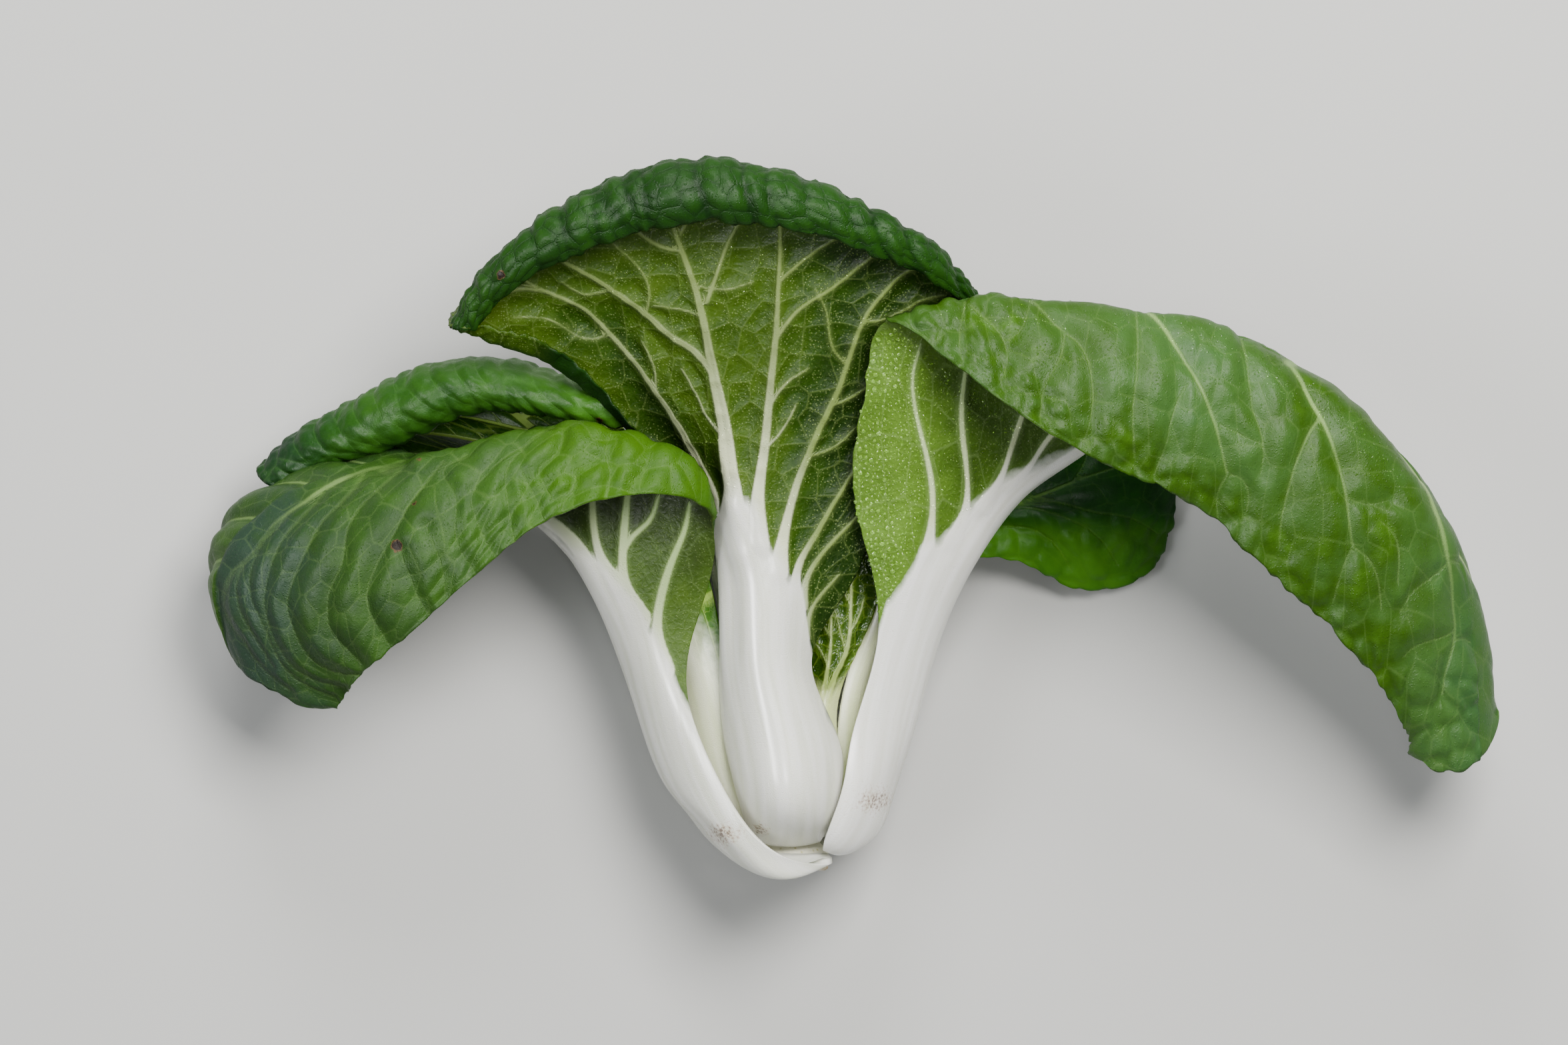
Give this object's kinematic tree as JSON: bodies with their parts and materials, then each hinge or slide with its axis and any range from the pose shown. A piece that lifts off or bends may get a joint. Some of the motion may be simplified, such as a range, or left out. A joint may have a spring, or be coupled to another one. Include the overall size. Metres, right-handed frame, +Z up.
{
  "type": "bok choy head",
  "caption": "Cut head of bok choy lying on its back: broad white stalks round a short stem, with green blades that arch out, droop and roll over at the margin.",
  "frame": {"origin": "on the surface it lies on, under the middle of the head's box", "axes": "+Z up from the surface, -Y towards the cut stem, +Y towards the leaf tips, +X towards the largest leaf"},
  "size_m": [0.3305, 0.183, 0.0988],
  "materials": {
    "leaf": "satin leaf: green blade, white stalk",
    "young_leaf": "glossy young leaf: bright green blade, pale green stalk",
    "stem": "matt cut stem, cream with a pale brown rim",
    "water": "clear drops of water"
  },
  "bodies": {
    "root": {"stem": "stem", "leaf_front": "leaf", "leaf_left": "leaf", "leaf_right": "leaf", "leaf_inner_left": "leaf", "leaf_back_right": "leaf", "leaf_back": "leaf", "leaf_heart_front": "young_leaf", "leaf_heart_right": "young_leaf", "leaf_heart_left": "young_leaf", "leaf_heart_back": "young_leaf"}
  },
  "joints": []
}
